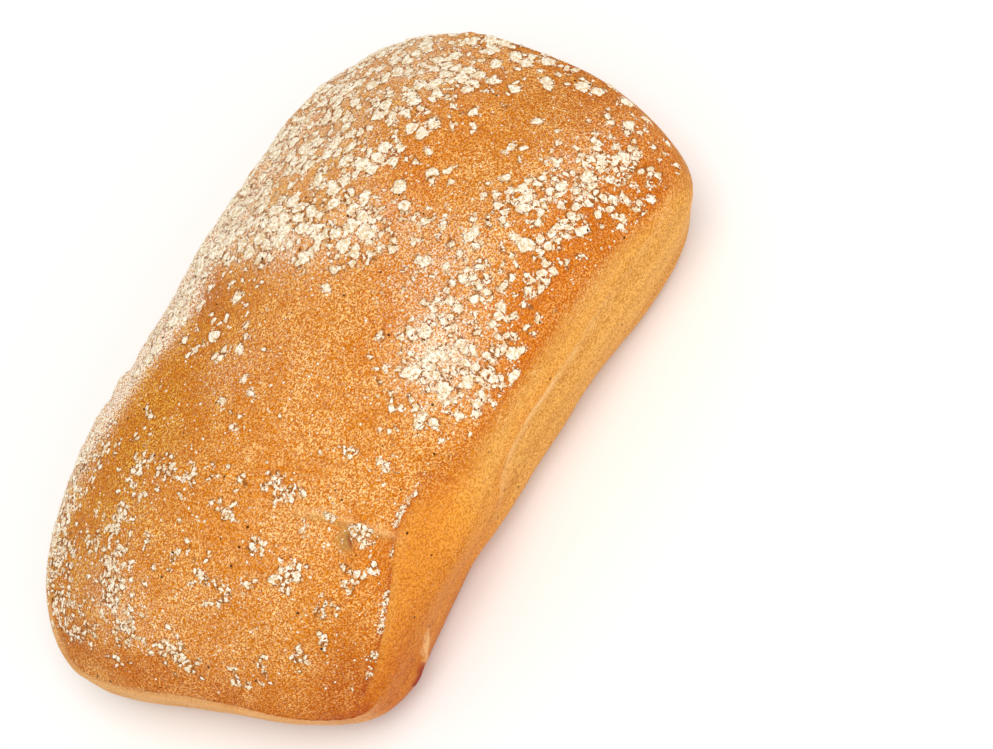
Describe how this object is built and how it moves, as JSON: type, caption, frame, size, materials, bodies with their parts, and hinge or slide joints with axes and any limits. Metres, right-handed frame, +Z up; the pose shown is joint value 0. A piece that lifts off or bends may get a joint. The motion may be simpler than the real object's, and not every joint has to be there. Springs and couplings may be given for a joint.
{
  "type": "ciabatta roll",
  "caption": "Whole baked bread roll with a domed, flour-dusted golden-brown crust, a pinched long side and a flat base to rest on.",
  "frame": {"origin": "under the middle of the roll's box, on the surface that it rests on", "axes": "+X along the roll to its far, wider end; +Y across it, away from the waisted wall; +Z up"},
  "size_m": [0.1512, 0.0836, 0.0467],
  "materials": {
    "crust": "golden-brown baked crust, matt with a slight sheen",
    "flour": "dry cream-white baked flour, matt"
  },
  "bodies": {
    "root": {"ciabatta_roll": "crust"}
  },
  "joints": []
}
